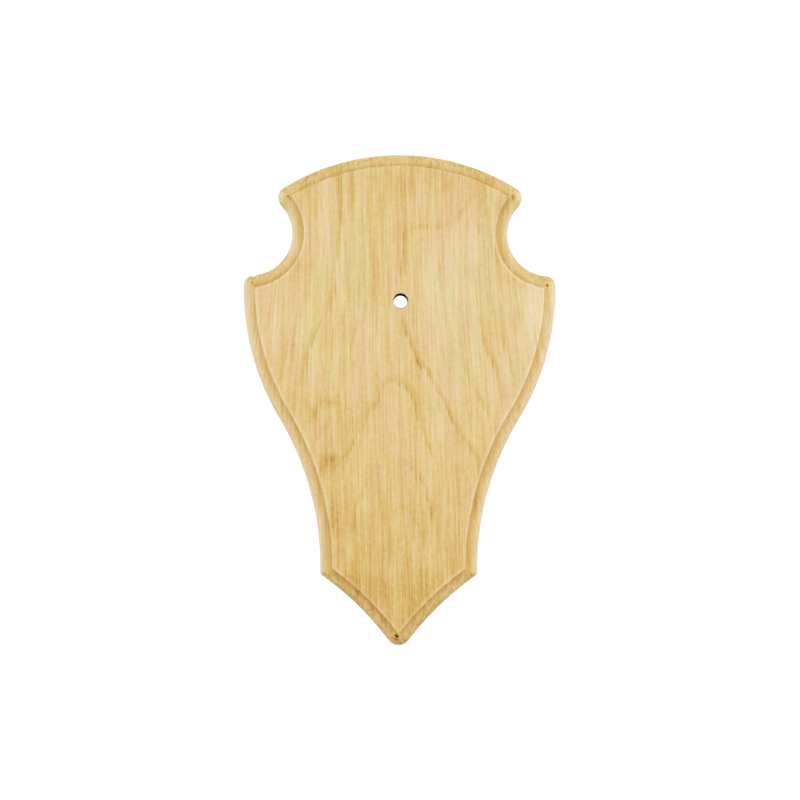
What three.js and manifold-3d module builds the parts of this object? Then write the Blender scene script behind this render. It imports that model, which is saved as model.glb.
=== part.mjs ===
// Antler mounting plaque: one solid oak board, sawn to a shield outline, with an ovolo and a small
// step routed round its front edge, a bolt hole right through it, and a keyhole slot in its back.
//
// Millimetres, +Z up. The front faces -Y and the back lies on the plane y = 0. The origin is on the
// back face, on the centre line, half-way up the board.

import * as THREE from "three";
import { mergeVertices } from "three/addons/utils/BufferGeometryUtils.js";
import Module from "manifold-3d";

// The board.
const boardHeight = 240;
const boardThickness = 18;

// The outline, from the top down. Drops are measured from the top of the board, rises from its tip,
// and each rounding is the radius that softens a corner between two of the outline's arcs.
const crownRadius = 107.8;
const earRounding = 5.4;
const notchRadius = 20.4;
const notchOut = 73.1;
const notchDrop = 38.7;
const shoulderWidth = 152.8;
const shoulderDrop = 65.5;
const shoulderRounding = 5.2;
const bulgeShare = 0.464;
const waistWidth = 76.9;
const waistAboveFoot = 3.2;
const footRise = 34.8;
const footRounding = 3;
const lowerEdgeRadius = 151.5;
const tipRounding = 6.1;

// The moulding, from the edge inwards: a quarter round, a narrow flat and a step up to the face.
const ovoloRadius = 5.6;
const quirkWidth = 0.6;
const stepHeight = 3;
const faceEase = 0.7;
const backEase = 0.6;

// The bolt hole, and the keyhole slot that a screw in the wall goes into.
const boltHoleDiameter = 7;
const boltHoleDrop = 71.8;
const keyholeDrop = 24;
const keyholeTravel = 16;
const keyholeHeadWidth = 9.5;
const keyholeNeckWidth = 5;
const keyholeLip = 5;
const keyholeHeadSpace = 5;

// How finely the arcs are stepped.
const crownSteps = 13;
const notchSteps = 16;
const sideSteps = 12;
const waistSteps = 12;
const lowerSteps = 9;
const roundingSteps = 6;
const tipSteps = 4;
const ovoloSteps = 6;
const easeSteps = 2;
const holeSteps = 40;
const cutterOverrun = 2;

const topLevel = boardHeight / 2;
const tipLevel = -boardHeight / 2;

// The five arcs of the right-hand outline. Material lies inside the circle of an arc that bulges,
// and outside the circle of one that doesn't.
const crown = {
  centre: new THREE.Vector2(0, topLevel - crownRadius),
  radius: crownRadius,
  bulges: true,
};

const notch = {
  centre: new THREE.Vector2(notchOut, topLevel - notchDrop),
  radius: notchRadius,
  bulges: false,
};

// The side swells at the shoulder and narrows to the waist in two arcs that meet without a corner.
// Their radii add up to what the two widths and the height between them ask for.
const shoulderLevel = topLevel - shoulderDrop;
const footLevel = tipLevel + footRise;
const waistLevel = footLevel + waistAboveFoot;
const narrowing = (shoulderWidth - waistWidth) / 2;
const sideHeight = shoulderLevel - waistLevel;
const radiiTogether = (narrowing ** 2 + sideHeight ** 2) / (2 * narrowing);

const side = {
  centre: new THREE.Vector2(shoulderWidth / 2 - bulgeShare * radiiTogether, shoulderLevel),
  radius: bulgeShare * radiiTogether,
  bulges: true,
};

const waistRadius = radiiTogether - side.radius;
const waist = {
  centre: new THREE.Vector2(waistWidth / 2 + waistRadius, waistLevel),
  radius: waistRadius,
  bulges: false,
};

// The lower edge runs from the foot of the side to the rounding of the tip, which it touches.
const footPoint = new THREE.Vector2(
  waist.centre.x - Math.sqrt(waistRadius ** 2 - waistAboveFoot ** 2),
  footLevel,
);
const lower = {
  centre: crossing(
    new THREE.Vector2(0, tipLevel + tipRounding),
    lowerEdgeRadius + tipRounding,
    footPoint,
    lowerEdgeRadius,
    new THREE.Vector2(lowerEdgeRadius, tipLevel - lowerEdgeRadius),
  ),
  radius: lowerEdgeRadius,
  bulges: false,
};
const lowerMirrored = {
  centre: new THREE.Vector2(-lower.centre.x, lower.centre.y),
  radius: lowerEdgeRadius,
  bulges: false,
};

// The corners between the arcs, each with a point that it lies near.
const ear = {
  before: crown,
  after: notch,
  rounding: earRounding,
  near: new THREE.Vector2(notchOut - notchRadius, topLevel),
};
const shoulder = {
  before: notch,
  after: side,
  rounding: shoulderRounding,
  near: new THREE.Vector2(shoulderWidth / 2, shoulderLevel),
};
const foot = {
  before: waist,
  after: lower,
  rounding: footRounding,
  near: footPoint,
};
const tip = {
  before: lower,
  after: lowerMirrored,
  rounding: tipRounding,
  near: new THREE.Vector2(0, tipLevel),
};

// Of the two points where two circles cross, the one nearer to a given point.
function crossing(centreA, radiusA, centreB, radiusB, near) {
  const apart = centreA.distanceTo(centreB);
  const along = (apart ** 2 + radiusA ** 2 - radiusB ** 2) / (2 * apart);
  const across = Math.sqrt(radiusA ** 2 - along ** 2);
  const direction = centreB.clone().sub(centreA).normalize();
  const sideways = new THREE.Vector2(-direction.y, direction.x);
  const middle = centreA.clone().addScaledVector(direction, along);
  const one = middle.clone().addScaledVector(sideways, across);
  const other = middle.clone().addScaledVector(sideways, -across);
  return one.distanceTo(near) < other.distanceTo(near) ? one : other;
}

// An arc's radius once the whole outline has moved inwards by an inset.
function insetRadius(arc, inset) {
  return arc.bulges ? arc.radius - inset : arc.radius + inset;
}

// A corner at an inset: its rounding shrinks as the outline moves inwards, about a fixed centre, and
// once it is used up the corner is sharp. Start and end are where it meets the arcs on either side.
function cornerAt(corner, inset) {
  const reach = Math.max(corner.rounding, inset);
  const centre = crossing(
    corner.before.centre,
    insetRadius(corner.before, reach),
    corner.after.centre,
    insetRadius(corner.after, reach),
    corner.near,
  );
  const radius = reach - inset;
  const touching = (arc) => {
    const outwards = centre.clone().sub(arc.centre).normalize();
    return centre.clone().addScaledVector(outwards, arc.bulges ? radius : -radius);
  };
  return { centre, radius, start: touching(corner.before), end: touching(corner.after) };
}

// Points along the shorter arc from one point to another, without the last one.
function arcPoints(centre, radius, from, to, steps) {
  const startAngle = Math.atan2(from.y - centre.y, from.x - centre.x);
  const endAngle = Math.atan2(to.y - centre.y, to.x - centre.x);
  const fullTurn = 2 * Math.PI;
  const turned = endAngle - startAngle;
  const sweep = turned - fullTurn * Math.round(turned / fullTurn);
  const curve = new THREE.ArcCurve(
    centre.x, centre.y, radius, startAngle, startAngle + sweep, sweep < 0,
  );
  return curve.getPoints(steps).slice(0, steps);
}

// The closed outline at an inset, clockwise from the top as seen from the front. It has the same
// number of points at every inset; those of a sharp corner lie on each other.
function outlineAt(inset) {
  const earHere = cornerAt(ear, inset);
  const shoulderHere = cornerAt(shoulder, inset);
  const footHere = cornerAt(foot, inset);
  const tipHere = cornerAt(tip, inset);
  const topPoint = new THREE.Vector2(0, topLevel - inset);
  const tipPoint = new THREE.Vector2(0, tipHere.centre.y - tipHere.radius);
  const turningPoint = side.centre.clone().lerp(waist.centre, insetRadius(side, inset) / radiiTogether);
  const alongArc = (arc, from, to, steps) => (
    arcPoints(arc.centre, insetRadius(arc, inset), from, to, steps)
  );
  const roundCorner = (corner, from, to, steps) => (
    arcPoints(corner.centre, corner.radius, from, to, steps)
  );
  const right = [
    ...alongArc(crown, topPoint, earHere.start, crownSteps),
    ...roundCorner(earHere, earHere.start, earHere.end, roundingSteps),
    ...alongArc(notch, earHere.end, shoulderHere.start, notchSteps),
    ...roundCorner(shoulderHere, shoulderHere.start, shoulderHere.end, roundingSteps),
    ...alongArc(side, shoulderHere.end, turningPoint, sideSteps),
    ...alongArc(waist, turningPoint, footHere.start, waistSteps),
    ...roundCorner(footHere, footHere.start, footHere.end, roundingSteps),
    ...alongArc(lower, footHere.end, tipHere.start, lowerSteps),
    ...roundCorner(tipHere, tipHere.start, tipPoint, tipSteps),
    tipPoint,
  ];
  const left = right.slice(1, -1).reverse().map((point) => new THREE.Vector2(-point.x, point.y));
  return [...right, ...left];
}

// The board's section from the back face to the front face: how far in from the outline each line
// of the moulding runs, and its place in the thickness.
function mouldingSection() {
  const stepFoot = ovoloRadius + quirkWidth;
  const crownLine = -boardThickness + stepHeight;
  const section = [
    { inset: backEase, y: 0 },
    { inset: 0, y: -backEase },
  ];
  for (let step = 0; step <= ovoloSteps; step += 1) {
    const angle = (step / ovoloSteps) * (Math.PI / 2);
    section.push({
      inset: ovoloRadius * (1 - Math.cos(angle)),
      y: crownLine + ovoloRadius * (1 - Math.sin(angle)),
    });
  }
  section.push({ inset: stepFoot, y: crownLine });
  for (let step = 0; step <= easeSteps; step += 1) {
    const angle = (step / easeSteps) * (Math.PI / 2);
    section.push({
      inset: stepFoot + faceEase * (1 - Math.cos(angle)),
      y: -boardThickness + faceEase * (1 - Math.sin(angle)),
    });
  }
  return section;
}

// A flat end closed over one ring of points, as triangles of ring indices, seen from the front.
function endTriangles(ring) {
  const kept = [];
  ring.forEach((point, index) => {
    const last = kept.length > 0 ? ring[kept[kept.length - 1]] : null;
    if (last === null || last.distanceTo(point) > 1e-6) {
      kept.push(index);
    }
  });
  kept.reverse();
  const contour = kept.map((index) => ring[index]);
  return THREE.ShapeUtils.triangulateShape(contour, []).map((face) => face.map((corner) => kept[corner]));
}

// The uncut board: the outline at each line of the section, joined ring to ring and closed at both
// faces.
function boardGeometry() {
  const section = mouldingSection();
  const rings = section.map((line) => outlineAt(line.inset));
  const count = rings[0].length;
  const positions = rings.flatMap((ring, level) => (
    ring.flatMap((point) => [point.x, section[level].y, point.y])
  ));
  const triangles = [];
  for (let level = 0; level < rings.length - 1; level += 1) {
    for (let index = 0; index < count; index += 1) {
      const next = (index + 1) % count;
      const here = level * count;
      const above = here + count;
      triangles.push(here + index, above + index, above + next);
      triangles.push(here + index, above + next, here + next);
    }
  }
  const lastRing = (rings.length - 1) * count;
  for (const [a, b, c] of endTriangles(rings[rings.length - 1])) {
    triangles.push(lastRing + a, lastRing + b, lastRing + c);
  }
  for (const [a, b, c] of endTriangles(rings[0])) {
    triangles.push(a, c, b);
  }
  const geometry = new THREE.BufferGeometry();
  geometry.setAttribute("position", new THREE.Float32BufferAttribute(positions, 3));
  geometry.setIndex(triangles);
  return geometry;
}

// A slot with round ends, upright on the centre line, cut to a depth from the back face.
function slotGeometry(width, lowEnd, highEnd, nearDepth, farDepth) {
  const shape = new THREE.Shape();
  shape.absarc(0, highEnd, width / 2, 0, Math.PI, false);
  shape.absarc(0, lowEnd, width / 2, Math.PI, 2 * Math.PI, false);
  shape.closePath();
  const geometry = new THREE.ExtrudeGeometry(shape, {
    depth: farDepth - nearDepth,
    curveSegments: holeSteps / 2,
    bevelEnabled: false,
  });
  geometry.rotateX(Math.PI / 2);
  geometry.translate(0, -nearDepth, 0);
  return geometry;
}

// A round hole along Y at a level on the centre line.
function holeGeometry(diameter, level, nearDepth, farDepth) {
  const geometry = new THREE.CylinderGeometry(
    diameter / 2, diameter / 2, farDepth - nearDepth, holeSteps,
  );
  geometry.translate(0, -(nearDepth + farDepth) / 2, level);
  return geometry;
}

const wasm = await Module();
wasm.setup();

// A closed geometry as a solid that can be cut: only positions count, shared vertices are merged,
// and the empty triangles of a sharp corner go.
function toSolid(geometry) {
  geometry.deleteAttribute("normal");
  geometry.deleteAttribute("uv");
  const merged = mergeVertices(geometry);
  const index = merged.getIndex().array;
  const triangles = [];
  for (let start = 0; start < index.length; start += 3) {
    const [a, b, c] = index.slice(start, start + 3);
    if (a !== b && b !== c && c !== a) {
      triangles.push(a, b, c);
    }
  }
  return new wasm.Manifold(new wasm.Mesh({
    numProp: 3,
    vertProperties: new Float32Array(merged.getAttribute("position").array),
    triVerts: new Uint32Array(triangles),
  }));
}

function toGeometry(solid) {
  const cut = solid.getMesh();
  const geometry = new THREE.BufferGeometry();
  geometry.setAttribute("position", new THREE.BufferAttribute(cut.vertProperties, 3));
  geometry.setIndex(new THREE.BufferAttribute(cut.triVerts, 1));
  geometry.computeVertexNormals();
  return geometry;
}

// The screw's head goes in at the round lower end of the keyhole, and the board is lowered until
// the screw's shank rests at the upper end of the narrow slot.
const restLevel = topLevel - keyholeDrop;
const entryLevel = restLevel - keyholeTravel;
const keyholeDepth = keyholeLip + keyholeHeadSpace;
const cuts = [
  holeGeometry(boltHoleDiameter, topLevel - boltHoleDrop, -cutterOverrun, boardThickness + cutterOverrun),
  holeGeometry(keyholeHeadWidth, entryLevel, -cutterOverrun, keyholeDepth),
  slotGeometry(keyholeNeckWidth, entryLevel, restLevel, -cutterOverrun, keyholeDepth),
  slotGeometry(keyholeHeadWidth, entryLevel, restLevel, keyholeLip, keyholeDepth),
];

let board = toSolid(boardGeometry());
for (const cut of cuts) {
  board = board.subtract(toSolid(cut));
}

const oak = new THREE.MeshStandardMaterial({ color: 0xe2c795, roughness: 0.55, metalness: 0 });
const oakBoard = new THREE.Mesh(toGeometry(board), oak);
oakBoard.name = "oak_board";

const plaque = new THREE.Group();
plaque.add(oakBoard);

export default plaque;
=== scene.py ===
"""Antler mounting plaque: the finished look of one solid oak board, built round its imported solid."""
import math

import bmesh
import bpy
import numpy as np
from mathutils.geometry import delaunay_2d_cdt
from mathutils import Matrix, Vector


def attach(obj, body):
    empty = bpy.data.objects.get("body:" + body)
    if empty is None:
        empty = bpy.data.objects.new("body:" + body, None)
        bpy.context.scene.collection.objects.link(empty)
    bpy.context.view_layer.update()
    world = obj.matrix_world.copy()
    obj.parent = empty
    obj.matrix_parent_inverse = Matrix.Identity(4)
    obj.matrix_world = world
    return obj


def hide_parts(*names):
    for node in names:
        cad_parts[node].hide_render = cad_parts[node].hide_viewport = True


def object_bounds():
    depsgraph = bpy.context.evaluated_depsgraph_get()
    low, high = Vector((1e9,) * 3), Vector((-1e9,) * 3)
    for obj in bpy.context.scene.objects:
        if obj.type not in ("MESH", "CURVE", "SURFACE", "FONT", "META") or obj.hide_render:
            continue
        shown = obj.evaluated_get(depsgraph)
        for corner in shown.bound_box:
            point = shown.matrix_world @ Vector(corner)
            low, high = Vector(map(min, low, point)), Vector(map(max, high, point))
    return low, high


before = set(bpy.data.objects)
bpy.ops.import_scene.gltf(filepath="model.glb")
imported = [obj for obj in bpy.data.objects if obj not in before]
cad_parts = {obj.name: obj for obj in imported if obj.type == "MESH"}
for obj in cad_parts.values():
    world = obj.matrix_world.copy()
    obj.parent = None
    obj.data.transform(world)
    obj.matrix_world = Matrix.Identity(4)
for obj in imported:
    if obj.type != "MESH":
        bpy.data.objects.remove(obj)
solid_low, solid_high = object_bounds()

# The view and the studio.
# The board is seen square on to its front, level with its middle, from about 0.8 m. It hangs in
# a white tent, so that soft light reaches it from all round. The picture's scale holds where the
# outline shows, which is a little behind the face.
MM = 0.001
board_height = solid_high[2] - solid_low[2]
front_level = solid_low[1]
view_distance = 0.815
silhouette_behind_face = 8.3 * MM
frame_pixels = 800
board_pixels = 490
metres_per_pixel = board_height / board_pixels
aim_right = 0.72 * metres_per_pixel
aim_up = 0.15 * metres_per_pixel
roll_degrees = -0.187

camera_data = bpy.data.cameras.new("camera")
camera_data.sensor_width = 36.0
camera_data.lens = (
    camera_data.sensor_width
    * (view_distance + silhouette_behind_face)
    / (frame_pixels * metres_per_pixel)
)
camera = bpy.data.objects.new("camera", camera_data)
camera.location = (aim_right, front_level - view_distance, aim_up)
camera.rotation_euler = (math.radians(90), math.radians(roll_degrees), 0)
bpy.context.scene.collection.objects.link(camera)
bpy.context.scene.camera = camera
bpy.context.scene.view_settings.view_transform = "Standard"


class Finish:
    """Short ways to build the nodes of one light or material. A value is a number, a tuple, or the
    output of another node of the same tree."""

    def __init__(self, owner):
        owner.use_nodes = True
        self.tree = owner.node_tree

    def feed(self, socket, value):
        """Gives a socket a fixed value, or the output of another node."""
        if isinstance(value, bpy.types.NodeSocket):
            self.tree.links.new(value, socket)
        else:
            socket.default_value = value

    def node(self, kind, output, settings=(), **inputs):
        """Adds a node, and gives one of its outputs. An underline in an input's name is a space."""
        node = self.tree.nodes.new(kind)
        for name, setting in dict(settings).items():
            setattr(node, name, setting)
        for name, value in inputs.items():
            self.feed(node.inputs[name.replace("_", " ")], value)
        return node.outputs[output]

    def calc(self, operation, *values, kind="ShaderNodeMath"):
        """One step of arithmetic that gives a number, of numbers or, by its kind, of vectors."""
        step = self.tree.nodes.new(kind)
        step.operation = operation
        for socket, value in zip(step.inputs, values):
            self.feed(socket, value)
        return step.outputs["Value"]

    def total(self, *values):
        """The sum of several values."""
        result = values[0]
        for value in values[1:]:
            result = self.calc("ADD", result, value)
        return result

    def times(self, *values):
        """The product of several values."""
        result = values[0]
        for value in values[1:]:
            result = self.calc("MULTIPLY", result, value)
        return result

    def eased(self, value, start, end, low=0.0, high=1.0):
        """Goes smoothly from low, where the value is at start, to high, where it is at end."""
        return self.node("ShaderNodeMapRange", "Result", {"interpolation_type": "SMOOTHSTEP"},
                         Value=value, From_Min=start, From_Max=end, To_Min=low, To_Max=high)

    def parts(self, vector):
        """The X, Y and Z of a vector."""
        split = self.tree.nodes.new("ShaderNodeSeparateXYZ")
        self.feed(split.inputs["Vector"], vector)
        return split.outputs


# Light comes weakly from round the camera, most strongly from the tent's sides, and evenly from
# behind. It is a little stronger from above than from below, and from the right than from the
# left. The Y of its direction goes from -1 on the camera's side to 1 behind the board.
light_in_front = 0.57
light_around = 1.56
light_behind = 1.05
lift = 0.08
lean_right = 0.06

world = bpy.data.worlds.new("studio")
bpy.context.scene.world = world
tent = Finish(world)
tent_x, tent_y, tent_z = tent.parts(tent.node("ShaderNodeTexCoord", "Generated"))
tent_light = tent.total(
    tent.eased(tent_y, -0.85, -0.50, light_in_front, light_around),
    tent.eased(tent_y, -0.20, 0.25, 0.0, light_behind - light_around),
    tent.times(tent_z, tent.eased(tent_y, 0.8, 0.2, 0.0, lift)),
    tent.times(tent_x, tent.eased(tent_y, 0.8, 0.2, 0.0, lean_right)),
)
background = tent.tree.nodes["Background"]
tent.feed(background.inputs["Color"], (1, 1, 1, 1))
tent.feed(background.inputs["Strength"], tent_light)

floor_drop = 0.52
floor_half = 0.9
floor_mesh = bpy.data.meshes.new("floor")
floor_mesh.from_pydata(
    [(-floor_half, -floor_half, -floor_drop), (floor_half, -floor_half, -floor_drop),
     (floor_half, floor_half, -floor_drop), (-floor_half, floor_half, -floor_drop)],
    [], [(0, 1, 2, 3)],
)
floor = bpy.data.objects.new("floor", floor_mesh)
bpy.context.scene.collection.objects.link(floor)
floor_paint = bpy.data.materials.new("pale_floor")
floor_paint.use_nodes = True
floor_shader = floor_paint.node_tree.nodes["Principled BSDF"]
floor_shader.inputs["Base Color"].default_value = (0.86, 0.86, 0.86, 1)
floor_shader.inputs["Roughness"].default_value = 0.9
floor_mesh.materials.append(floor_paint)

# The oak board.
# One piece of flat-sawn oak, 18 mm thick, sawn to a shield outline from a template. A router then
# cuts a quarter round with a small step above it all round the front. A drill makes the bolt hole,
# and a keyhole cutter the slot in the back that hangs the board on a screw.
board_thickness = solid_high[1] - solid_low[1]
top_level = board_height / 2
tip_level = -board_height / 2
crown_radius = 107.8 * MM
ear_rounding = 5.4 * MM
notch_radius = 20.4 * MM
notch_out = 73.1 * MM
notch_level = top_level - 38.7 * MM
shoulder_half = (solid_high[0] - solid_low[0]) / 2
shoulder_level = top_level - 65.5 * MM
shoulder_rounding = 5.2 * MM
bulge_share = 0.464
waist_half = 38.45 * MM
foot_level = tip_level + 34.8 * MM
waist_level = foot_level + 3.2 * MM
foot_rounding = 3 * MM
lower_radius = 151.5 * MM
tip_rounding = 6.1 * MM

narrowing = shoulder_half - waist_half
side_height = shoulder_level - waist_level
radii_together = (narrowing**2 + side_height**2) / (2 * narrowing)
side_radius = bulge_share * radii_together
waist_radius = radii_together - side_radius


def crossing(first, first_radius, second, second_radius, hand):
    """Where two circles cross: the point on the left (hand 1) or right (hand -1) of the way from
    the first centre to the second. Radii are arrays, and each pair gives one point."""
    first, second = np.array(first), np.array(second)
    apart = np.hypot(*(second - first))
    along = (apart**2 + first_radius**2 - second_radius**2) / (2 * apart)
    across = hand * np.sqrt(first_radius**2 - along**2)
    ahead = (second - first) / apart
    sideways = np.array([-ahead[1], ahead[0]])
    return first + along[..., None] * ahead + across[..., None] * sideways


foot_point = (
    waist_half + waist_radius - math.sqrt(waist_radius**2 - (waist_level - foot_level)**2),
    foot_level,
)
lower_centre = crossing((0, tip_level + tip_rounding), np.array(lower_radius + tip_rounding),
                        foot_point, np.array(lower_radius), -1)

# Each arc is its centre, its radius, and 1 where it bulges outwards or -1 where it hollows.
crown = ((0, top_level - crown_radius), crown_radius, 1)
notch = ((notch_out, notch_level), notch_radius, -1)
side = ((shoulder_half - side_radius, shoulder_level), side_radius, 1)
waist = ((waist_half + waist_radius, waist_level), waist_radius, -1)
lower = (tuple(lower_centre), lower_radius, -1)
lower_mirrored = ((-lower_centre[0], lower_centre[1]), lower_radius, -1)


def corner(before, after, rounding, inset, hand):
    """A rounded corner between two arcs, for an array of insets: its centre keeps its place while
    the inset is below the rounding, and beyond that the corner is sharp. Gives centre, radius, and
    the two points where it meets the arcs."""
    reach = np.maximum(rounding, inset)
    centre = crossing(before[0], before[1] - before[2] * reach,
                      after[0], after[1] - after[2] * reach, hand)
    radius = reach - inset

    def touching(arc):
        outwards = centre - np.array(arc[0])
        outwards /= np.linalg.norm(outwards, axis=-1, keepdims=True)
        return centre + outwards * (arc[2] * radius)[..., None]

    return centre, radius, touching(before), touching(after)


def sweep(centre, radius, start, end, steps):
    """Points of the shorter arc about a centre, from start up to but not at end: centre plus radius
    times (cos a, sin a), with a running evenly. One row of points for each inset."""
    centre = np.broadcast_to(centre, start.shape)
    angle_from = np.arctan2(*(start - centre).T[::-1])
    angle_to = np.arctan2(*(end - centre).T[::-1])
    turn = (angle_to - angle_from + math.pi) % (2 * math.pi) - math.pi
    angle = angle_from[:, None] + turn[:, None] * (np.arange(steps) / steps)
    ring = np.stack([np.cos(angle), np.sin(angle)], axis=-1)
    return centre[:, None] + np.broadcast_to(radius, angle_from.shape)[:, None, None] * ring


point_spacing = 0.7 * MM
rounding_steps = 14
fewest_steps = 4
arc_over_chord = 1.05


def outline(inset):
    """The shield's closed outline for an array of insets, clockwise from the top of the crown: five
    arcs and four rounded corners down the right side, and their mirror image back up the left.
    Gives an array of insets by points by (x, z)."""
    inset = np.asarray(inset, dtype=float)
    ear = corner(crown, notch, ear_rounding, inset, 1)
    shoulder = corner(notch, side, shoulder_rounding, inset, 1)
    foot = corner(waist, lower, foot_rounding, inset, -1)
    tip = corner(lower, lower_mirrored, tip_rounding, inset, -1)
    nothing = np.zeros_like(inset)
    top_point = np.stack([nothing, top_level - inset], axis=-1)
    tip_point = tip[0] - np.stack([nothing, tip[1]], axis=-1)
    way = np.array(waist[0]) - np.array(side[0])
    turning = np.array(side[0]) + ((side[1] - inset) / radii_together)[:, None] * way

    def along(arc, start, end):
        length = np.hypot(*(start - end)[0]) * arc_over_chord
        steps = max(fewest_steps, int(length / point_spacing))
        return sweep(arc[0], arc[1] - arc[2] * inset, start, end, steps)

    right = np.concatenate([
        along(crown, top_point, ear[2]),
        sweep(ear[0], ear[1], ear[2], ear[3], rounding_steps),
        along(notch, ear[3], shoulder[2]),
        sweep(shoulder[0], shoulder[1], shoulder[2], shoulder[3], rounding_steps),
        along(side, shoulder[3], turning),
        along(waist, turning, foot[2]),
        sweep(foot[0], foot[1], foot[2], foot[3], rounding_steps),
        along(lower, foot[3], tip[2]),
        sweep(tip[0], tip[1], tip[2], tip_point, rounding_steps // 2),
        tip_point[:, None],
    ], axis=1)
    left = right[:, -2:0:-1] * np.array([-1, 1])
    return np.concatenate([right, left], axis=1)


# The section, from the back edge to the face: how far in from the outline, and the depth behind
# the plane of the wall.
ovolo_radius = 5.6 * MM
quirk_width = 0.6 * MM
step_height = 3 * MM
face_ease_width = 1.2 * MM
face_ease_depth = 0.6 * MM
face_margin = np.array([0.6, 1.8]) * MM
back_ease = 0.6 * MM
cove_radius = 0.3 * MM
crown_line = -board_thickness + step_height
ovolo_end = crown_line + ovolo_radius
step_foot = ovolo_radius + quirk_width
ovolo_steps = 14
face_ease_steps = 7
ease_steps = 4


def quarter(steps):
    """Angles of a quarter turn, from 0 to 90 degrees."""
    return np.linspace(0, math.pi / 2, steps + 1)


side_levels = np.linspace(-back_ease, ovolo_end, 9)[1:-1]
section_inset = np.concatenate([
    back_ease * (1 - np.sin(quarter(ease_steps))),
    np.zeros_like(side_levels),
    ovolo_radius * (1 - np.cos(quarter(ovolo_steps))),
    step_foot - cove_radius * (1 - np.sin(quarter(ease_steps))),
    step_foot + face_ease_width * (1 - np.cos(quarter(face_ease_steps))),
    step_foot + face_ease_width + face_margin,
])
section_level = np.concatenate([
    -back_ease * (1 - np.cos(quarter(ease_steps))),
    side_levels,
    crown_line + ovolo_radius * (1 - np.sin(quarter(ovolo_steps))),
    crown_line - cove_radius * (1 - np.cos(quarter(ease_steps))),
    -board_thickness + face_ease_depth * (1 - np.sin(quarter(face_ease_steps))),
    np.full_like(face_margin, -board_thickness),
])

rings = outline(section_inset)

# On the left shoulder, where the saw left the notch, a splinter broke out of the edge. It grows
# deeper towards the notch, ends there at once, and dies away inwards and towards the back.
splinter_start = -73.2 * MM
splinter_end = -70.6 * MM
splinter_depth = 0.75 * MM
splinter_reach = 2.4 * MM
torn = (rings[..., 0] - splinter_start) / (splinter_end - splinter_start)
torn = np.where((torn > 0) & (torn < 1) & (rings[..., 1] > shoulder_level), torn, 0)
inward = np.clip(1 - section_inset / splinter_reach, 0, 1)
forward = np.clip(section_level / ovolo_end, 0, 1)
rings[..., 1] -= splinter_depth * torn * (inward * forward)[:, None]

levels = np.broadcast_to(section_level[:, None], rings.shape[:2])
shell = np.stack([rings[..., 0], levels, rings[..., 1]], axis=-1)
section_points, outline_points = shell.shape[:2]


def grid_faces(rows, columns):
    """Quads of a grid of rows of points that closes on itself along each row."""
    row = np.arange(rows - 1)[:, None] * columns
    here = np.arange(columns)[None]
    after = (here + 1) % columns
    quads = np.stack([row + here, row + columns + here, row + columns + after, row + after], axis=-1)
    return quads.reshape(-1, 4)


bolt_level = top_level - 71.8 * MM
bolt_radius = 3.5 * MM
bolt_aside = 0.35 * MM
bolt_lean = 0.15 * MM
edge_clearance = 1.2


def face_field(ring, spacing):
    """Points of a triangular lattice that lie inside a closed ring, well clear of it. The shield is
    star-shaped about the bolt hole, so a point is inside where it is nearer to the hole than the
    ring is in the same direction."""
    hole = np.array([0, bolt_level])
    low, high = ring.min(axis=0), ring.max(axis=0)
    columns = np.arange(low[0], high[0], spacing)
    rows = np.arange(low[1], high[1], spacing * math.sqrt(3) / 2)
    x, z = np.meshgrid(columns, rows)
    x = x + np.where(np.arange(len(rows)) % 2, spacing / 2, 0)[:, None]
    points = np.stack([x.ravel(), z.ravel()], axis=-1)
    around = np.arctan2(*(ring - hole).T)
    order = np.argsort(around)
    reach = np.hypot(*(ring - hole).T)[order]
    direction = np.arctan2(*(points - hole).T)
    limit = np.interp(direction, around[order], reach, period=2 * math.pi)
    distance = np.hypot(*(points - hole).T)
    return points[distance < limit - spacing * edge_clearance]


# An edge shorter than no_length counts as none. The other two are settings of the triangulation.
no_length = 1e-7
triangles_inside = 1
closeness = 1e-9


def capped(ring, level, spacing, at_back):
    """A flat end over one ring of points, filled with a lattice of points so that a pattern held by
    the points stays true, as vertices and triangles. They face the front, or at the back the wall."""
    keep = np.hypot(*(ring - np.roll(ring, 1, axis=0)).T) > no_length
    edge = ring[keep]
    points = np.concatenate([edge, face_field(edge, spacing)])
    count = len(edge)
    edges = [(i, (i + 1) % count) for i in range(count)]
    found, _, faces, _, _, _ = delaunay_2d_cdt(
        points.tolist(), edges, [], triangles_inside, closeness)
    found = np.array(found)
    corners = np.stack([found[:, 0], np.full(len(found), level), found[:, 1]], axis=-1)
    faces = np.array(faces)
    a, b, c = (found[faces[:, k]] for k in range(3))
    turn = (b - a)[:, 0] * (c - a)[:, 1] - (b - a)[:, 1] * (c - a)[:, 0]
    wrong = (turn < 0) != at_back
    faces[wrong] = faces[wrong][:, ::-1]
    return corners, faces


front_spacing = 1.4 * MM
back_spacing = 2.5 * MM
front_vertices, front_faces = capped(rings[-1], section_level[-1], front_spacing, False)
back_vertices, back_faces = capped(rings[0], section_level[0], back_spacing, True)

start_front = section_points * outline_points
start_back = start_front + len(front_vertices)
board_mesh = bpy.data.meshes.new("oak_plaque")
board_mesh.from_pydata(
    np.concatenate([shell.reshape(-1, 3), front_vertices, back_vertices]).tolist(),
    [],
    grid_faces(section_points, outline_points).tolist()
    + (front_faces + start_front).tolist()
    + (back_faces + start_back).tolist(),
)
board = bpy.data.objects.new("oak_plaque", board_mesh)
bpy.context.scene.collection.objects.link(board)


def keep_on_points(name, values):
    """Stores one number for each point of the board, for its material to read."""
    layer = board_mesh.attributes.new(name, "FLOAT", "POINT")
    layer.data.foreach_set("value", values.astype(np.float32))


# Each point keeps how far in from the outline it lies, for the finish. All points of the flat ends
# count as being as far in as the last ring.
keep_on_points("from_outline", np.concatenate([
    np.repeat(section_inset, outline_points),
    np.full(len(front_vertices) + len(back_vertices), section_inset[-1]),
]))

same_place = 2e-6


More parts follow.
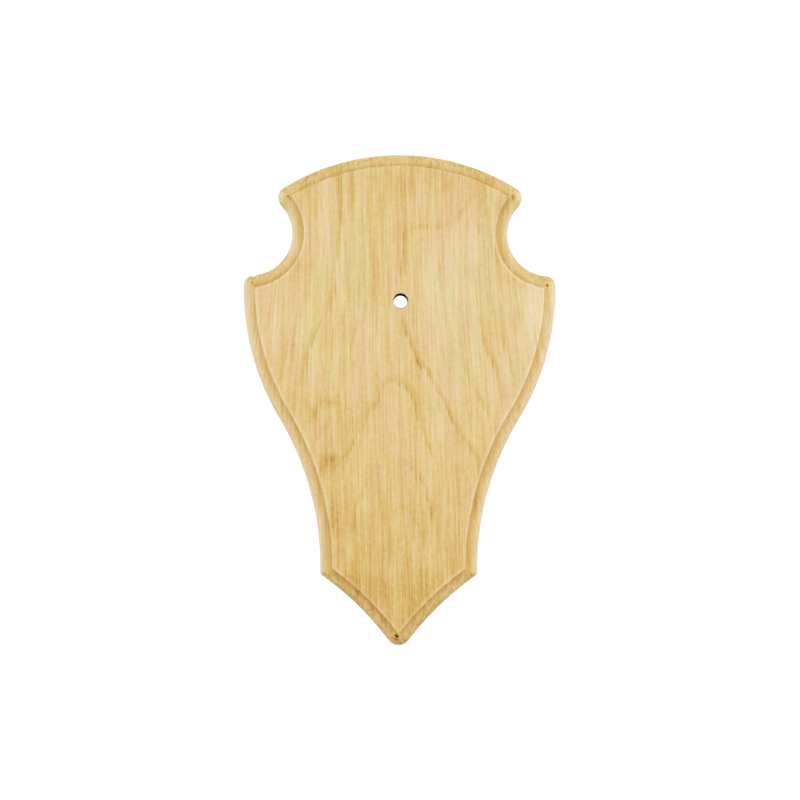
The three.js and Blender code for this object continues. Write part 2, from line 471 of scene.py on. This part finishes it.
def welded(mesh):
    """Joins the points of a mesh that share a place, so that its shell is closed."""
    work = bmesh.new()
    work.from_mesh(mesh)
    bmesh.ops.remove_doubles(work, verts=work.verts, dist=same_place)
    bmesh.ops.dissolve_degenerate(work, edges=work.edges, dist=no_length)
    work.to_mesh(mesh)
    work.free()


welded(board_mesh)

# The bolt hole and the keyhole slot are cut last.
hole_points = 96
keyhole_entry_level = 80 * MM
keyhole_rest_level = 96 * MM
keyhole_head_radius = 4.75 * MM
keyhole_neck_radius = 2.5 * MM
keyhole_lip = 5 * MM
keyhole_depth = 10 * MM
rim_ease = 0.35 * MM
clear = 1 * MM


def cutter(low, high, section, aside=0.0, lean=0.0):
    """A closed tool that cuts along the board's thickness: at each (level, radius) of its section
    it is a ring that is round about both the low and the high place and straight between them. It
    is this far aside at the back, and by the lean further at the front."""
    angle = 2 * math.pi * (np.arange(hole_points) + 0.5) / hole_points
    level, radius = np.array(section).T
    x = radius[:, None] * np.cos(angle) + aside - lean * level[:, None] / board_thickness
    z = radius[:, None] * np.sin(angle) + np.where(np.sin(angle) > 0, high, low)
    y = np.broadcast_to(level[:, None], x.shape)
    points = np.stack([x, y, z], axis=-1).reshape(-1, 3)
    faces = grid_faces(len(section), hole_points).tolist()
    first_ring = list(range(hole_points))
    last_ring = [i + (len(section) - 1) * hole_points for i in first_ring]
    mesh = bpy.data.meshes.new("cutter")
    mesh.from_pydata(points.tolist(), [], faces + [first_ring, last_ring[::-1]])
    tool = bpy.data.objects.new("cutter", mesh)
    work = bmesh.new()
    work.from_mesh(mesh)
    bmesh.ops.recalc_face_normals(work, faces=work.faces)
    work.to_mesh(mesh)
    work.free()
    return tool


rim = rim_ease * (1 - np.sin(quarter(ease_steps)))
rim_depth = rim_ease * (1 - np.cos(quarter(ease_steps)))
bolt_section = [(clear, bolt_radius + rim_ease)]
bolt_section += list(zip(-rim_depth, bolt_radius + rim))
bolt_section += list(zip(rim_depth[::-1] - board_thickness, bolt_radius + rim[::-1]))
bolt_section += [(-board_thickness - clear, bolt_radius + rim_ease)]
# The drill went in a little to the right of the middle, and leaned back towards it.
cuts = (
    cutter(bolt_level, bolt_level, bolt_section, bolt_aside, bolt_lean),
    cutter(keyhole_entry_level, keyhole_entry_level,
           [(clear, keyhole_head_radius), (-keyhole_depth, keyhole_head_radius)]),
    cutter(keyhole_entry_level, keyhole_rest_level,
           [(clear, keyhole_neck_radius), (-keyhole_lip - clear, keyhole_neck_radius)]),
    cutter(keyhole_entry_level, keyhole_rest_level,
           [(-keyhole_lip, keyhole_head_radius), (-keyhole_depth, keyhole_head_radius)]),
)
for tool in cuts:
    bpy.context.scene.collection.objects.link(tool)
    cut = board.modifiers.new("cut", "BOOLEAN")
    cut.operation = "DIFFERENCE"
    cut.solver = "EXACT"
    cut.object = tool
    bpy.context.view_layer.update()
    cut_board = board.evaluated_get(bpy.context.evaluated_depsgraph_get())
    board_mesh = bpy.data.meshes.new_from_object(cut_board)
    board.modifiers.clear()
    board.data = board_mesh
    bpy.data.objects.remove(tool)
welded(board_mesh)
board_mesh.name = "oak_plaque"
crease_degrees = 28
board_mesh.shade_smooth()
board_mesh.set_sharp_from_angle(angle=math.radians(crease_degrees))

# The growth rings, as they cross the face. Each is its place in the count of rings, out from the
# middle of the pattern, and points (x, z) in mm that it passes through.
growth_lines = (
    (9, ((-56, 53), (-59, 38.5), (-61.5, 26.5))),
    (9, ((57, 48.5), (58, 34), (61, 18.5))),
    (8, ((-44, 84.5), (-43, 67.5), (-45.5, 48.5), (-51, 31.5), (-55.5, 17))),
    (8, ((48, 53), (49, 38.5), (50.5, 26.5), (53.5, 17), (57.5, 5.5))),
    (7, ((-30, 112.5), (-28, 97), (-28, 83.5), (-29.5, 70), (-31, 55.5), (-34.5, 43.5), (-39, 35),
         (-42.5, 25.5), (-45.5, 16.5), (-48, 5.5))),
    (7, ((39, 89.5), (38, 63), (38.5, 48.5), (40, 31.5), (43, 23), (46.5, 14.5), (50, 4.5))),
    (6, ((-23, 112.5), (-22, 94.5), (-22.5, 67.5), (-24.5, 48.5), (-29, 34), (-34, 19), (-37, 4.5),
         (-41.5, -9))),
    (6, ((30.5, 77.5), (27.5, 48.5), (28.5, 34), (30.5, 23), (33.5, 12), (38.5, 1.5), (43.5, -10))),
    (5, ((-11, 113.5), (-10, 97), (-9.5, 80), (-11, 63), (-15, 48.5), (-21, 31.5), (-25, 17),
         (-30, 2.5), (-35, -12.5))),
    (5, ((34.5, 99.5), (28.5, 91), (22.5, 85.5), (14, 84), (6, 83.5), (3.5, 76), (1.5, 62),
         (0.5, 46), (2, 37), (5, 28.5), (10, 18), (16.5, 7), (24.5, -7.5), (32, -20), (37.5, -29.5))),
    (4, ((-33.5, -30), (-26, -27), (-22.5, -21), (-18, -13.5), (-13.5, -5), (-9.5, 2.5), (-4, 10.5),
         (2.5, 6.5), (6.5, 3), (8.5, -4), (11, -14), (15, -24), (20.5, -38))),
    (3, ((-23.5, -68), (-21, -56), (-17, -44), (-10, -35), (-2, -30), (6.5, -33), (11, -40.5),
         (13.5, -47.5), (16, -54.5), (20.5, -70.5))),
    (2, ((-10, -87.5), (-6.5, -74.5), (-3.5, -61), (0.5, -51), (6, -54.5), (9.5, -62), (12, -68.5),
         (16, -78))),
)
ring_thickness = 2.6 * MM
sheet_unit = 100
sheet_slack = 2e-4
least_apart = 1e-6


def bending(apart):
    """The thin plate's r squared times the logarithm of r, which nears nought as r does."""
    return apart**2 * np.log(np.maximum(apart, least_apart))


def growth(x, z):
    """The count of rings at places on the face: the smoothest sheet, a bent thin plate, that has
    the right count, but for a little slack, at every point of the growth lines. It is a flat sheet
    plus one bending term for each point, with weights that one set of linear equations gives."""
    known = np.array([point for _, line in growth_lines for point in line]) / sheet_unit
    count = np.array([level for level, line in growth_lines for _ in line], dtype=float)
    size = len(known)
    apart = np.linalg.norm(known[:, None] - known[None], axis=-1)
    flat = np.column_stack([np.ones(size), known])
    equations = np.block([[bending(apart) + sheet_slack * np.eye(size), flat],
                          [flat.T, np.zeros((3, 3))]])
    weights = np.linalg.solve(equations, np.concatenate([count, np.zeros(3)]))
    wanted = np.column_stack([x, z]) / (sheet_unit * MM)
    total = weights[size] + wanted @ weights[size + 1:]
    for place, weight in zip(known, weights):
        total += weight * bending(np.linalg.norm(wanted - place, axis=-1))
    return total


# Where a growth line is at its darkest, and the darker and paler patches between the lines: the
# place (x, z) and half widths across and up in mm, and how much darker or, below nought, paler. Some
# patches are the wood's own tone, and some are painted shade and painted light, as on the right-hand
# notch, the sides and the lower edges.
bold_lines = (
    (-22.5, 98, 3, 14, 0.8), (30, 92, 6, 8, 0.4), (-30, 84, 4, 24, 0.8), (12, 84, 12, 4, 0.25),
    (2, 68, 4, 12, 0.7), (38, 60, 3, 14, 0.3), (-33, 50, 4, 10, 0.4), (52, 38, 4, 12, 0.4),
    (5, 34, 7, 9, 0.7), (-20, 34, 5, 12, 0.4), (-42, 26, 6, 12, 0.9), (44, 20, 7, 14, 0.8),
    (32, 18, 4, 10, 0.35), (13, 17, 9, 13, 0.85), (0, 8, 8, 4, 0.35), (-12, -2, 7, 8, 0.4),
    (41, -2, 5, 8, 0.5), (9, -4, 4, 9, 0.45), (24, -4, 8, 12, 0.75), (-37, -5, 4, 6, 0.4),
    (14, -20, 4, 9, 0.5), (34, -20, 6, 12, 0.6), (-24, -23, 8, 8, 0.5), (11, -42, 6, 14, 0.6),
    (-18, -48, 5, 10, 0.4),
)
tone_and_light_patches = (
    (0, 106, 44, 9, 0.12), (-36, 84, 3, 26, -0.14), (-20, 87, 2, 18, -0.10), (5, 83, 3, 3, 0.07),
    (15, 85, 7, 2.5, 0.07), (52, 80, 7, 13, 0.32), (34, 75, 16, 20, -0.08), (4, 72, 2.5, 9, 0.07),
    (-43, 66, 3, 16, 0.05), (-63, 60, 9, 5, 0.10), (20, 62, 18, 30, -0.05), (63, 60, 9, 5, 0.08),
    (12, 50, 8, 22, -0.06), (30, 46, 12, 18, -0.05), (57, 41, 2, 7, 0.16), (64, 43, 3, 15, -0.22),
    (61, 38, 12, 28, -0.18), (48, 37, 1.2, 12, 0.08), (-64, 38, 9, 24, -0.12), (38, 8, 14, 14, -0.07),
    (-33, -1, 5, 2.5, 0.20), (-41, -7, 2, 5, 0.18), (-25, -12, 12, 12, 0.08), (-34, -28, 5, 2.5, 0.18),
    (-29, -31, 3, 3, 0.12), (-37, -32, 1.8, 5, 0.26), (-32.5, -33, 1.6, 5, 0.26), (20, -42, 9, 24, -0.08),
    (-31, -52, 6, 22, 0.10), (3, -53, 3, 3, 0.10), (15.5, -54, 1.6, 4, 0.16), (11, -65, 2.5, 5, 0.08),
    (-8, -73, 8, 6, 0.08), (-9, -90, 5, 5, 0.12), (1, -90, 2, 10, 0.10), (14, -92, 8, 12, 0.08),
    (-20, -94, 9, 13, 0.12), (30, -96, 6, 8, -0.08), (-22, -101, 9, 11, 0.17), (27, -102, 9, 9, -0.30),
    (0, -108, 16, 16, 0.10),
)
face_skin = 9 * MM

board_points = np.empty(len(board_mesh.vertices) * 3, dtype=np.float32)
board_mesh.vertices.foreach_get("co", board_points)
point_x, point_y, point_z = board_points.reshape(-1, 3).astype(float).T
depth = point_y + board_thickness


def patches(rows):
    """The sum of soft patches: each is its strength times e to the minus (x/a)^2 + (z/b)^2, counted
    from its own middle. They fade away below the face."""
    total = np.zeros_like(point_x)
    for x, z, half_wide, half_high, strength in rows:
        away = ((point_x / MM - x) / half_wide)**2 + ((point_z / MM - z) / half_high)**2
        total += strength * np.exp(-away)
    return total * np.clip(1 - depth / face_skin, 0, 1)


# The ring gap is how far apart the growth lines lie on the face.
nudge = 0.2 * MM
least_gap = 2 * MM
widest_gap = 40 * MM
ring_count = growth(point_x, point_z)
slope = np.hypot(growth(point_x + nudge, point_z) - ring_count,
                 growth(point_x, point_z + nudge) - ring_count) / nudge
keep_on_points("growth", ring_count + depth / ring_thickness)
keep_on_points("ring_gap", np.clip(1 / slope, least_gap, widest_gap))
keep_on_points("boldness", patches(bold_lines))
# Patches of the wood's own tone, and patches of painted light and shade.
keep_on_points("tone_and_painted_light", patches(tone_and_light_patches))


def linear(red, green, blue):
    """A colour given as 0 to 255 steps of a screen, as the light it stands for, with alpha."""
    steps = np.array([red, green, blue]) / 255
    light = np.where(steps > 0.04045, ((steps + 0.055) / 1.055)**2.4, steps / 12.92)
    return (*light, 1.0)


oak_material = bpy.data.materials.new("oak")
oak = Finish(oak_material)


def kept(name):
    """The number that the board's points keep under a name."""
    return oak.node("ShaderNodeAttribute", "Fac", {"attribute_name": name})


place_x, place_y, place_z = oak.parts(oak.node("ShaderNodeTexCoord", "Object"))
facing_x, _, facing_z = oak.parts(oak.node("ShaderNodeTexCoord", "Normal"))
ring_gap = kept("ring_gap")
from_outline = kept("from_outline")

# The fibres run nearly straight up the board. They lean a little to the right as they go down,
# and spread apart by a tenth on the way from near the top to a little below the middle.
fibre_lean = 0.026
fibre_spread = 0.10
leaning = oak.calc("MULTIPLY_ADD", place_z, fibre_lean, place_x)
fibre_x = oak.times(leaning, oak.eased(place_z, 80 * MM, -20 * MM, 1.0, 1.0 - fibre_spread))
fibre = oak.node("ShaderNodeCombineXYZ", "Vector", X=fibre_x, Y=place_y, Z=place_z)


def flecks(across, through, along, detail=1.0, seed=0.0):
    """Noise about nought that is drawn out along the fibres, in flecks of the three sizes in mm."""
    stretched = oak.node("ShaderNodeMapping", "Vector", Vector=fibre,
                         Scale=(1000 / across, 1000 / through, 1000 / along),
                         Location=(seed, 2.3 * seed, 5.1 * seed))
    noise = oak.node("ShaderNodeTexNoise", "Fac", Vector=stretched, Scale=1.0, Detail=detail,
                     Roughness=0.5)
    return oak.calc("SUBTRACT", noise, 0.5)


pores = flecks(0.75, 1.6, 24, detail=2.0, seed=1.7)
fine = flecks(1.5, 2.5, 38, seed=3.1)
medium = flecks(3.2, 5, 55, seed=4.9)
broad = flecks(7, 9, 70, seed=7.3)
cloud = flecks(14, 20, 24, detail=2.0, seed=9.2)
mottle = flecks(1.2, 1.2, 1.9, seed=13.6)
hue = flecks(5, 7, 40, detail=2.0, seed=17.1)
short = flecks(3.2, 4, 5, detail=2.0, seed=25.3)

# Low on the board the saw cut along the rings, so its long streaks and its changes of hue are
# fainter there.
streak_share = oak.eased(place_z, 70 * MM, -60 * MM, 1.5, 0.2)
hue_share = oak.eased(place_z, 25 * MM, -45 * MM, 0.045, 0.025)

# A growth line is a band of pores: it starts sharply, with edges drawn out along the fibres, and
# fades away outwards. On the end grain it is cut across, so it runs more evenly. The ring gap turns
# counts of rings into distances on the face.
line_lead = 0.04
line_rise = 0.7 * MM
line_width = 4 * MM
end_grain = oak.eased(oak.calc("ABSOLUTE", facing_z), 0.15, 0.7)
end_flecks = flecks(0.6, 1.0, 9, detail=2.0, seed=11.4)
wander = oak.times(
    oak.total(oak.times(pores, 5 * MM), oak.times(fine, 4 * MM), oak.times(medium, 2 * MM)),
    oak.calc("MULTIPLY_ADD", end_grain, -0.9, 1.0),
)
jagged_count = oak.total(kept("growth"), oak.calc("DIVIDE", wander, ring_gap))
past_line = oak.times(oak.calc("FRACT", oak.total(jagged_count, line_lead)), ring_gap)
ring_band = oak.times(oak.eased(past_line, 0.0, line_rise),
                      oak.eased(past_line, line_width, line_rise))
ring_strength = oak.calc("MULTIPLY_ADD", kept("boldness"), 0.28, 0.04)
ring_tone = oak.times(ring_band, ring_strength, oak.eased(pores, -0.16, 0.16, 0.6, 1.4))

# Painted shade darkens the hollow at the foot of the step, least of all on the lower edges. A
# painted highlight makes the face's edge paler just inside its rounding, from the notches down.
painted_step_shade = oak.times(
    oak.eased(place_z, foot_level, foot_level - 8 * MM, 1.0, 0.1),
    oak.eased(place_y, crown_line + 1.3 * MM, crown_line - 0.1 * MM),
    oak.eased(place_y, -board_thickness + 0.6 * MM, crown_line - 0.6 * MM),
)
# Painted highlight along the face's edge, just inside its rounding.
painted_edge_highlight = oak.times(
    oak.eased(from_outline, step_foot, step_foot + 0.6 * MM),
    oak.eased(from_outline, step_foot + 1.9 * MM, step_foot + 0.8 * MM),
    oak.eased(place_y, -board_thickness + 1.2 * MM, -board_thickness + 0.3 * MM),
    oak.eased(place_z, notch_level + 11 * MM, notch_level + 5 * MM),
)

# A painted sheen: the moulding's quarter round is less saturated where it runs along the grain.
painted_sheen = oak.times(
    oak.eased(oak.calc("ABSOLUTE", facing_x), 0.42, 0.70),
    oak.calc("MULTIPLY_ADD", end_grain, -0.5, 1.0),
    oak.eased(place_y, ovolo_end + 1.5 * MM, ovolo_end - 0.5 * MM),
)

# The tone goes from 0 for the palest wood to 1 for the darkest, and beyond that to scorched wood
# and to the painted shade inside the bolt hole.
plain_tone = 0.36
tone = oak.total(
    plain_tone,
    oak.times(pores, oak.eased(place_z, 0.0, -90 * MM, 0.68, 0.80)),
    oak.times(fine, oak.calc("MULTIPLY_ADD", streak_share, 0.14, 0.12)),
    oak.times(medium, streak_share, 0.17),
    oak.times(broad, streak_share, 0.15),
    oak.times(short, 0.18),
    oak.times(cloud, 0.22),
    oak.times(mottle, 0.26),
    oak.eased(place_z, 10 * MM, -120 * MM, 0.0, 0.18),
    ring_tone,
    oak.times(kept("tone_and_painted_light"), oak.eased(fine, -0.25, 0.25, 0.6, 1.4)),
    oak.times(end_grain, 0.26),
    oak.times(end_grain, end_flecks, 0.4),
    oak.times(end_grain, ring_band, 0.10),
    oak.times(painted_step_shade, 0.10),
    oak.times(painted_edge_highlight, -0.16),
)

# Where the router turned in a sharp inner corner it scorched the wood: place (x, z), half width
# and darkness of each scorch. The wall of the bolt hole is painted near black as painted shade, and
# its rim a darker grey as painted shade.
scorches = (
    (-1.3, -114.6, 0.6, 0.70), (-0.8, -114.9, 0.65, 0.90), (-0.35, -115.15, 0.6, 0.65),
    (-3.2, -115.7, 0.5, 0.12), (-2.4, -116.0, 0.5, 0.15), (-1.7, -116.2, 0.5, 0.26),
    (-1.0, -116.4, 0.5, 0.30), (-0.3, -116.6, 0.5, 0.24),
    (-54.5, 98.9, 0.5, 0.35), (-53.2, 98.0, 0.6, 0.15), (55.2, 99.3, 1.0, 0.22),
    (55.3, 98.0, 0.7, 0.15), (-71.6, 56.9, 0.8, 0.16), (-70.9, 56.1, 0.7, 0.18),
    (-70.3, 55.2, 0.6, 0.22), (71.9, 56.1, 0.7, 0.40),
)


def away_from(place, x, z):
    """How far a place is from the line (x, z) through the board's thickness."""
    return oak.calc("DISTANCE", place, (x, 0, z), kind="ShaderNodeVectorMath")


# Mottling shifts the places a little, so that the scorches have ragged edges.
raggedness = 0.6 * MM
ragged = oak.node(
    "ShaderNodeCombineXYZ", "Vector",
    X=oak.total(place_x, oak.times(mottle, raggedness)),
    Z=oak.total(place_z, oak.times(flecks(1.3, 1.3, 1.3, seed=21.7), raggedness)))
burnt = 0.0
for x, z, half_wide, strength in scorches:
    away = away_from(ragged, x * MM, z * MM)
    spot = oak.eased(away, 1.6 * half_wide * MM, 0.4 * half_wide * MM, 0.0, strength)
    burnt = oak.calc("MAXIMUM", burnt, spot)
burnt = oak.times(burnt, oak.eased(place_y, ovolo_end, crown_line))
beside_bolt = oak.total(oak.times(place_y, bolt_lean / board_thickness), place_x, -bolt_aside)
from_bolt = away_from(oak.node("ShaderNodeCombineXYZ", "Vector", X=beside_bolt, Z=place_z),
                      0, bolt_level)
# Painted shade: the wall of the bolt hole is made near black, and its rim darker and grey.
painted_hole_shade = oak.times(
    oak.eased(from_bolt, bolt_radius + 0.2 * MM, bolt_radius + 0.05 * MM),
    oak.eased(place_y, -board_thickness, -board_thickness + rim_ease),
)
painted_rim_shade = oak.eased(from_bolt, bolt_radius + 0.6 * MM, bolt_radius + 0.2 * MM, 0.0, 0.22)
# Scorches, together with the painted shade of the bolt hole.
scorch_and_hole_shade = oak.calc("MAXIMUM", burnt, oak.calc("MAXIMUM", painted_hole_shade, painted_rim_shade))

# How much full scorching and the painted shade of the bolt hole add to the tone, and each tone's
# colour in the 0 to 255 steps of a screen.
scorch_and_shade_tone = 1.7
oak_tones = (
    (0.0, (238, 220, 180)),
    (plain_tone, (228, 200, 140)),
    (0.62, (217, 179, 97)),
    (1.0, (172, 118, 50)),
    (1.5, (118, 62, 12)),
    (2.0, (96, 50, 8)),
)
tone_span = oak_tones[-1][0]
ramp = oak.tree.nodes.new("ShaderNodeValToRGB")
oak.feed(ramp.inputs["Fac"], oak.calc("MULTIPLY_ADD", scorch_and_hole_shade, scorch_and_shade_tone / tone_span,
                                      oak.times(tone, 1 / tone_span)))
stops = ramp.color_ramp.elements
for _ in oak_tones[2:]:
    stops.new(0.5)
for stop, (position, colour) in zip(stops, oak_tones):
    stop.position = position / tone_span
    stop.color = linear(*colour)

# Some streaks of the wood are pinker and some more yellow, and its end grain is a dull yellow. The
# painted sheen and the painted shade on the hole's rim take colour out.
tinted = oak.node(
    "ShaderNodeHueSaturation", "Color", Color=ramp.outputs["Color"],
    Hue=oak.total(oak.times(hue, hue_share), oak.times(end_grain, 0.010), 0.5),
    Saturation=oak.total(oak.times(painted_sheen, -0.22), oak.times(end_grain, -0.07),
                         oak.times(painted_rim_shade, -1.5), 1.0),
    Value=oak.total(oak.times(painted_sheen, -0.06), oak.times(end_grain, -0.09), 1.0))
shader = oak.tree.nodes["Principled BSDF"]
oak.feed(shader.inputs["Base Color"], tinted)
oak.feed(shader.inputs["Roughness"], oak.calc("MULTIPLY_ADD", pores, 0.3, 0.5))
# Scorches and the painted shade in the bolt hole reflect less.
oak.feed(shader.inputs["Specular IOR Level"], oak.calc("MULTIPLY_ADD", scorch_and_hole_shade, -0.5, 0.5))
oak.feed(shader.inputs["IOR"], 1.45)
pore_relief = oak.times(oak.total(pores, oak.times(fine, 0.5)), -1.0)
pore_depth = 0.12 * MM
oak.feed(shader.inputs["Normal"],
         oak.node("ShaderNodeBump", "Normal", Strength=0.35, Distance=pore_depth, Height=pore_relief))
board_mesh.materials.append(oak_material)

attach(board, "root")
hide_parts("oak_board")
